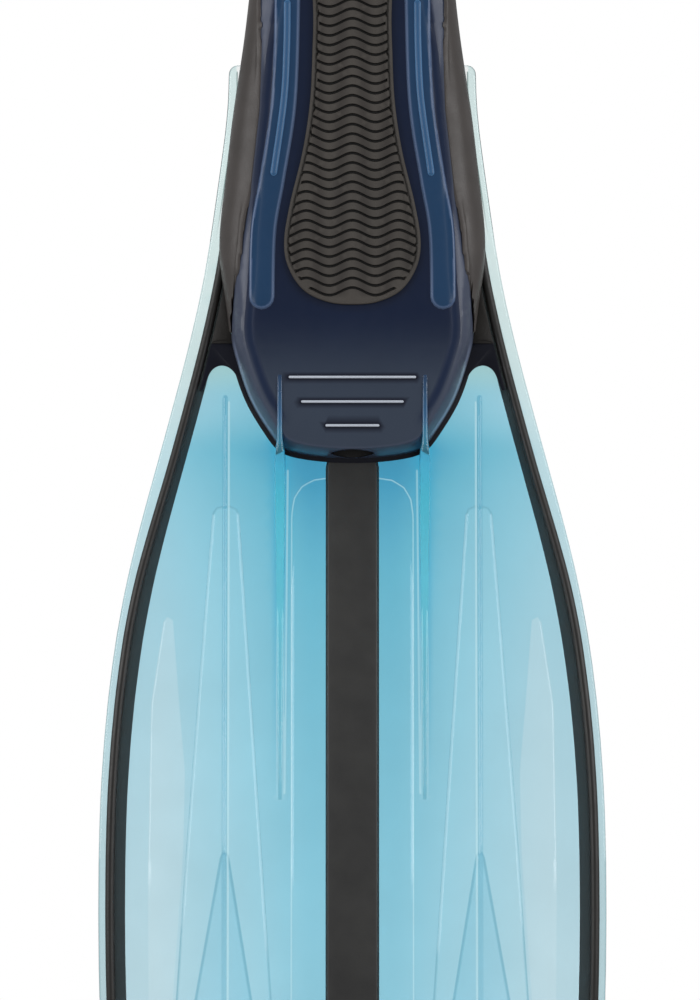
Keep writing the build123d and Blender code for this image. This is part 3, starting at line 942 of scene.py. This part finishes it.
# --- Sole ---
SOLE_OUTLINE, TREAD_OUTLINE = loop(SOLE_EDGE, 2.2), loop(TREAD_EDGE, 1.8)
PAD, RIDGE = ribbon(PAD_PATH, PAD_WIDTH), ribbon(RIDGE_PATH, RIDGE_WIDTH)
BARS = [ribbon([(-w / 2, y), (w / 2, y)], 2 * CROSS_RIB_RADIUS, 4) for y, w in CROSS_RIBS]
DRAIN_POINTS = [(-9.4, 15.3), (-5, 13.9), (0, 13.3), (5, 13.9), (9.4, 15.3), (5, 16.6), (0, 17), (-5, 16.6)]
DRAIN = smooth_line(DRAIN_POINTS, 1.2, closed=True)
LIP = 0.8  # width of the wall's steep outer part
VALLEY = 4.6  # width of the shallow valley inside the leaning wall
VALLEY_DEPTH = 0.4
PAD_EDGE = 1.3
BEAD_IN = 1.3  # from the plate's start to the middle of the rubber bead along it


def arch_share(y):
    """0 round the toes, where the plate reaches the blade, and 1 beside the arch and heel."""
    return ease((y - 68) / 26)


def wall_start(y):
    """How far in from SOLE_EDGE the plate starts."""
    ys = [62, 76, 106, 124, 160, 182, 204, 240, 262]
    return np.interp(y, ys, [-0.9, 0.4, 1.4, 3, 3, 1.1, -0.6, -0.6, 3])


def wall_foot(y):
    """How far in from SOLE_EDGE the wall ends."""
    ys = [14, 32, 90, 130, 165, 183, 204, 262]
    return wall_start(y) + LIP + np.interp(y, ys, [3.4, 5.6, 5.2, 1.6, 1.6, 3.4, 7.0, 4.0])


def wall(depth, y):
    """Height of the plate's outside face: a steep lip, a leaning wall that flattens out, then flat."""
    arch = arch_share(y)
    top = under(y) + (SOLE_RIM_Z - under(y)) * arch
    lip_z = 13 - 6 * arch
    steep = np.clip((depth - wall_start(y)) / LIP, 0, 1)
    lean = np.clip((depth - wall_start(y) - LIP) / (wall_foot(y) - wall_start(y) - LIP), 0, 1)
    return top + (lip_z - top) * steep + (SOLE_Z - lip_z) * (1 - (1 - lean) ** 1.7)


def valley_share(depth, y):
    """1 in the middle of the valley, 0 outside it."""
    away = np.abs(depth - wall_foot(y) - VALLEY / 2)
    return np.clip(1 - away / (VALLEY / 2), 0, 1) * ease((y - 24) / 16)


def sole_low(spots):
    depth, y = depth_in(spots, SOLE_OUTLINE), spots[:, 1]
    right = fold(spots)
    low = wall(depth, y) + VALLEY_DEPTH * ease(valley_share(depth, y))
    low = low - PAD_PROUD * quarter_round(depth_in(right, PAD), PAD_EDGE)
    low = low - RIDGE_PROUD * quarter_round(depth_in(right, RIDGE), RIDGE_EDGE)
    for bar in BARS:
        low = low - CROSS_RIB_RADIUS * quarter_round(depth_in(spots, bar), CROSS_RIB_RADIUS)
    return np.where(depth_in(spots, DRAIN) > 0.3, SOLE_TOP_Z - 4, low)


def sole_high(spots):
    depth, y = depth_in(spots, SOLE_OUTLINE), spots[:, 1]
    high = np.clip(wall(depth - 2.6, y), SOLE_FLOOR_Z, None)
    return np.maximum(high, sole_low(spots) + 0.02)


def make_sole():
    y = SOLE_OUTLINE[:, 1]
    creases = [inset(SOLE_OUTLINE, wall_start(y) + d) for d in (0.25, LIP, LIP + 0.5, LIP + 1.1)]
    creases += [inset(SOLE_OUTLINE, wall_foot(y) + VALLEY * d) for d in (-0.3, 0, 0.25, 0.5, 0.75, 1)]
    creases += [inset(SOLE_OUTLINE, d)[y < 60] for d in (3.4, 4.6)]
    for shape, radius in ((PAD, PAD_EDGE), (RIDGE, RIDGE_EDGE)):
        for share in (-0.25, 0, 0.15, 0.45, 1):
            creases += sides(inset(shape, share * radius))
    for bar in BARS:
        creases += [inset(bar, d) for d in (-0.3, 0, 0.2, 0.3, 0.6)]
    creases += [DRAIN, inset(DRAIN, 0.35), *sides(inset(RIDGE, 0.4))]
    outline, tread = inset(SOLE_OUTLINE, wall_start(y)), inset(TREAD_OUTLINE, 0.3)
    piece = slab("sole_plate_shell", outline, [tread], creases, 3.0, sole_low, sole_high, 24)
    paint(piece, sole_colours)
    return piece


def sole_colours(points):
    spots, y = points[:, :2], points[:, 1]
    right = fold(spots)
    depth = depth_in(spots, SOLE_OUTLINE)
    colours = blend([(0, (5, 23, 52)), (1, (52, 62, 78))], ease((76 - y) / 38))
    # Painted reflection: the leaning wall is painted pale slate for the white room it reflects.
    slope = ease((wall_foot(y) + 0.6 - depth) / 1.6)
    colours = over_paint(colours, (70, 78, 98), 0.9 * slope)
    # Painted shade in the shallow valley inside the leaning wall.
    colours = over_paint(colours, (18, 34, 62), ease(1.8 * valley_share(depth, y)) * ease((200 - y) / 20))
    # Painted highlight: a pale line on the fold between the lip and the leaning wall, round the toe.
    fold_line = np.abs(depth - wall_start(y) - LIP - 0.25) < 0.3
    colours = over_paint(colours, (132, 146, 174), 0.6 * fold_line * ease((y - 20) / 6) * ease((66 - y) / 10))
    pad = depth_in(right, PAD)
    colours = over_paint(colours, (24, 58, 92), ease((pad + 0.2) / 0.5))
    # Painted highlight: a pale band round the pad's rounded edge.
    colours = over_paint(colours, (84, 104, 138), 0.9 * ((pad > -0.1) & (pad < 0.8)))
    ridge = depth_in(right, RIDGE)
    colours = over_paint(colours, (48, 88, 128), ease((ridge + 0.2) / 0.4))
    # Painted highlight on the ridge's rounded edges.
    colours = over_paint(colours, (90, 138, 184), 0.8 * ((ridge > -0.1) & (ridge < 0.35)))
    for bar in BARS:
        inner = depth_in(spots, bar)
        # Painted shade round the foot of each cross rib.
        colours = over_paint(colours, (16, 22, 40), (inner > -0.45) & (inner < 0.1))
        colours = over_paint(colours, (190, 197, 209), inner > 0.25)
    # Painted shade: the drain's blind pocket is painted near-black so that it looks like an opening.
    return over_paint(colours, (16, 15, 14), depth_in(spots, DRAIN) > 0.1)


# --- Tread ---
TREAD_FIELD = inset(TREAD_OUTLINE, 2.5)


def wave_points(xs, y):
    return np.column_stack([xs, y + WAVE_HEIGHT * np.cos(2 * math.pi * xs / WAVE_LENGTH)])


def groove_lines():
    """For each wavy groove, its middle line, and its outlines at the surface and the floor."""
    grooves = []
    low, high = TREAD_FIELD.min(0)[1], TREAD_FIELD.max(0)[1]
    for i in range(int((high - low) / GROOVE_PITCH)):
        y = low + GROOVE_PITCH * (i + 0.75)
        xs = np.arange(0, 30, 0.4)
        within = inside(wave_points(xs, y), TREAD_FIELD)
        reach = xs[np.argmin(within)] - 0.2 if within[0] else 0
        if reach < 4:
            continue
        wave = wave_points(np.linspace(-reach, reach, int(reach / 0.8) * 2 + 1), y)
        halves = (GROOVE_WIDTH / 2, GROOVE_WIDTH / 4)
        grooves.append((wave, [np.vstack([wave + (0, half), (wave - (0, half))[::-1]]) for half in halves]))
    return grooves


GROOVES = groove_lines()


def groove_depth(spots):
    """1 on a groove's floor, 0 on the ridges."""
    depth = np.zeros(len(spots))
    for wave, _ in GROOVES:
        near = np.abs(spots[:, 1] - wave[:, 1].mean()) < 6
        if near.any():
            gap = gap_to(spots[near], wave, closed=False)
            floor = 1 - (gap - GROOVE_WIDTH / 4) / (GROOVE_WIDTH / 4)
            depth[near] = np.maximum(depth[near], np.clip(floor, 0, 1))
    return depth


def tread_low(spots):
    depth = depth_in(spots, TREAD_OUTLINE)
    rim = 0.6 * (1 - quarter_round(depth, 0.6))
    valley = 0.7 * np.clip(1 - np.abs(depth - 1.7) / 0.8, 0, 1) * ease((spots[:, 1] - 86) / 12)
    return np.maximum(GROOVE_DEPTH * groove_depth(spots), rim + valley)


def make_tread():
    creases = [inset(TREAD_OUTLINE, d) for d in (0.15, 0.6, 0.9, 1.7, 2.5)]
    for _, edges in GROOVES:
        creases += edges
    piece = slab("tread_rubber", TREAD_OUTLINE, [], creases, 4.0, tread_low, level(SOLE_FLOOR_Z - 0.05), 30)
    paint(piece, tread_colours)
    return piece


def tread_colours(points):
    """Painted shade: darker with depth up the grooves, and black on their floors, so that no light is left
    there.
    """
    stops = [(0, (68, 64, 60)), (0.3, (54, 50, 47)), (0.8, (26, 24, 22)), (1.5, (4, 4, 4))]
    return blend(stops, points[:, 2])


def make_bed():
    """The insole in the pocket, a little higher round its edge, with a fine pattern from its material."""
    outline = inset(SOLE_OUTLINE, 8.6)

    def high(spots):
        depth = gap_to(spots, outline)
        return SOLE_FLOOR_Z + 1.8 * quarter_round(depth, 1.4) + 0.5 * ease(1 - depth / 14)

    rings = [inset(outline, d) for d in (0.3, 0.8, 1.4, 5.0, 10.0)]
    return slab("insole", outline, [], rings, 4.0, level(SOLE_FLOOR_Z - SUNK), high)


# --- Foot pocket ---
OPENING = [(0, 291.5), (17, 286), (25.5, 264), (27.5, 236), (24.5, 205), (14.5, 181), (0, 173)]


def moulded_copy(node, name, voxel, keep=0.5):
    """The CAD node's shape as an even mesh with soft edges, as rubber leaves its mould."""
    piece = new_object(name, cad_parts[node].data.copy())
    remesh = piece.modifiers.new("remesh", "REMESH")
    remesh.mode = "VOXEL"
    remesh.voxel_size = voxel * MM
    remesh.adaptivity = 0
    smooth = piece.modifiers.new("smooth", "SMOOTH")
    smooth.factor = 0.5
    smooth.iterations = 4
    thin = piece.modifiers.new("thin", "DECIMATE")
    thin.ratio = keep
    apply_modifiers(piece)
    shade(piece, 50)
    return piece


def make_rim():
    """The rolled edge round the foot opening: a round bead that follows the pocket's top."""
    plan = loop(OPENING, 3.0)
    rows = []
    outward = plan - inset(plan, 1.0)
    line = []
    for (x, y), out in zip(plan, outward):
        spots = [hit(POCKET_TREE, (x + out[0] * d, y + out[1] * d, 120), (0, 0, -1)) for d in (1.2, 2.2, 3.2)]
        heights = [s[2] for s in spots if s is not None and s[2] > 40]
        line.append((x, y, max(heights) if heights else np.nan))
    line = np.array(line)
    known = ~np.isnan(line[:, 2])
    steps = np.arange(len(line))
    line[:, 2] = np.interp(steps, steps[known], line[known, 2], period=len(line))
    for _ in range(3):
        line[:, 2] = (np.roll(line[:, 2], 1) + 2 * line[:, 2] + np.roll(line[:, 2], -1)) / 4
    cos, sin = circle(12)
    across, up = 0.7 + 1.9 * cos, -1.5 + 1.55 * sin
    for (x, y, z), out in zip(line, outward):
        rows.append(np.column_stack([x + out[0] * across, y + out[1] * across, z + up]))
    return swept("rim", rows, closed=True)


def make_web(side):
    """The rubber corner between rail and pocket, with a raised seam where it meets the toe welt."""
    node = "corner_web_" + side
    y = min(v.co.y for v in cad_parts[node].data.vertices) / MM + 0.5
    tree = tree_of(node)
    spots = [hit(tree, (x, y, -20), (0, 0, 1)) for x in np.arange(30, 70, 0.5) * WAY[side]]
    spots = np.array([spot for spot in spots if spot is not None])
    xs = spots[:, 0]
    lift = 1 - ((xs - xs.mean()) / np.ptp(xs) * 2) ** 2
    line = spots + np.column_stack([np.zeros(len(spots)), 0.9 * lift, np.zeros(len(spots))])
    cos, sin = circle(8)
    ring = np.column_stack([np.zeros(8), 0.3 * cos, 0.3 * sin + 0.1])
    seam = swept("seam", line[:, None] + ring)
    return joined("corner_web_rubber_" + side, [cleaned_copy(node, 0.35), seam])


def make_rand():
    """The pocket's walls, with a clean bead where they meet the sole plate."""
    walls = moulded_copy("pocket_rand", "walls", 0.9, 0.35)
    points = np.empty(len(walls.data.vertices) * 3)
    walls.data.vertices.foreach_get("co", points)
    points = points.reshape(-1, 3) / MM
    y, z = points[:, 1:].T
    near = (z < 14) & (y > 60) & (y < 262)
    lip = np.zeros(len(points))
    lip[near] = depth_in(points[near, :2], SOLE_OUTLINE)
    ys = [60, 72, 112, 128, 160, 182, 204, 240, 262]
    # The lip is moved outwards to bare more of the plate, and its front end is tucked up into the plate.
    move = np.interp(y, ys, [0, 2.2, 2.2, 0, 0, 1.8, 3.6, 3.6, 0])
    points[:, 0] += np.sign(points[:, 0]) * move * ease((lip - 0.5) / 3)
    limit = np.interp(y, [70, 84, 100], [-0.3, 1.2, 2.4])
    points[:, 2] += 9 * ease((lip - limit) / 0.9) * ease((92 - y) / 10) * near
    walls.data.vertices.foreach_set("co", points.ravel() * MM)
    edge = np.array([p for p in SOLE_OUTLINE if 80 < p[1] < 290 and p[0] > 0])
    line = smooth_line(edge[np.argsort(edge[:, 1])], 1.5)
    cos, sin = circle(10)

    def size(y):
        return float(ease((y - 80) / 12)) * 0.85 + 0.15

    def reach(y):
        return wall_start(y) + BEAD_IN * np.interp(y, [82, 108], [0.5, 1])

    def span(y):
        return -(reach(y) + 0.75 * size(y) * cos)

    def heights(_, y):
        return wall(np.array([reach(y)]), np.array([y]))[0] + 0.6 - 0.5 * size(y) + 0.75 * size(y) * sin

    pieces = [walls]
    for name in WAY:
        bead = swept("bead", rows_along(line, span, heights))
        pieces.append(joined("bead_" + name, [bead], name == "left"))
    return joined("pocket_rand_rubber", pieces)


def make_liner(side):
    """A rubber band on the inside of the pocket, which covers the blade's edge there."""
    path = smooth_line(GAP[(GAP[:, 1] > 40) & (GAP[:, 1] < GAP[0][1] - 1)], 3.0)

    def heights(_, y):
        low, high = under(y) - 1.6, over(y) + 1.6
        return [low, high, high, high - 0.8, low + 0.8, low]

    rows = rows_along(path, lambda y: [-0.3, -0.3, 0.5, 0.9, 0.9, 0.5], heights)
    return joined("liner_" + side, [swept("liner", rows)], side == "left")


def make_upper():
    pieces = [moulded_copy("pocket_upper", "shell", 1.4), make_rim(), *map(make_liner, WAY)]
    return joined("pocket_upper_rubber", pieces)


# --- The whole fin ---
add_camera()
add_world()
add_floor()
add_light("sole_left", (-1.2, 0.2, -0.75), (0, 0.1, 0.01), (0.6, 1.6), 10)
add_light("sole_right", (1.2, 0.2, -0.75), (0, 0.1, 0.01), (0.6, 1.6), 10)
add_light("sole_heel", (0, 1.5, -1.1), (0, 0.1, 0.01), (1.2, 0.5), 8, shine=False)
add_light("top", (0.5, -0.6, 1.6), (0, 0, 0.02), (1.2, 1.2), 26)

BLADE = painted_clear("aqua_plastic", 0.05, 0.94)
KEEL = rib_plastic("cyan_plastic")
NAVY = painted_plastic("navy_plastic", 0.32)
TREAD = painted_rubber("tread_rubber", 0.62)
POCKET = rubber("pocket_rubber", linear(64, 60, 58), linear(75, 70, 68), 0.42)
RAIL = rubber("rail_rubber", linear(32, 31, 30), linear(40, 39, 38), 0.36)
WEB = rubber("web_rubber", linear(20, 17, 15), linear(28, 25, 22), 0.45)
STRIP = rubber("strip_rubber", linear(46, 46, 46), linear(55, 55, 54), 0.4)
WELT = glossy_plastic("welt_rubber", linear(4, 7, 20), linear(7, 11, 28), 0.3)
BED = rubber("footbed_rubber", linear(46, 46, 48), linear(58, 58, 60), 0.8)

place(make_blade(), BLADE, "blade_plastic", "blade")
place(make_sole(), NAVY, "sole_plastic", "sole_plate")
place(make_tread(), TREAD, "tread_rubber", "tread_pad")
place(make_strip(), STRIP, "rail_rubber", "centre_strip")
place(make_bed(), BED, "footbed_foam", "footbed")
place(make_upper(), POCKET, "pocket_rubber", "pocket_upper")
place(make_rand(), POCKET, "pocket_rubber", "pocket_rand")
place(cleaned_copy("toe_welt", 0.35), WELT, "welt_rubber", "toe_welt")
for side in WAY:
    place(make_rail(side), RAIL, "rail_rubber", "side_rail_" + side)
    place(make_keel(side), KEEL, "keel_plastic", "keel_rib_" + side)
    place(make_web(side), WEB, "rail_rubber", "corner_web_" + side)
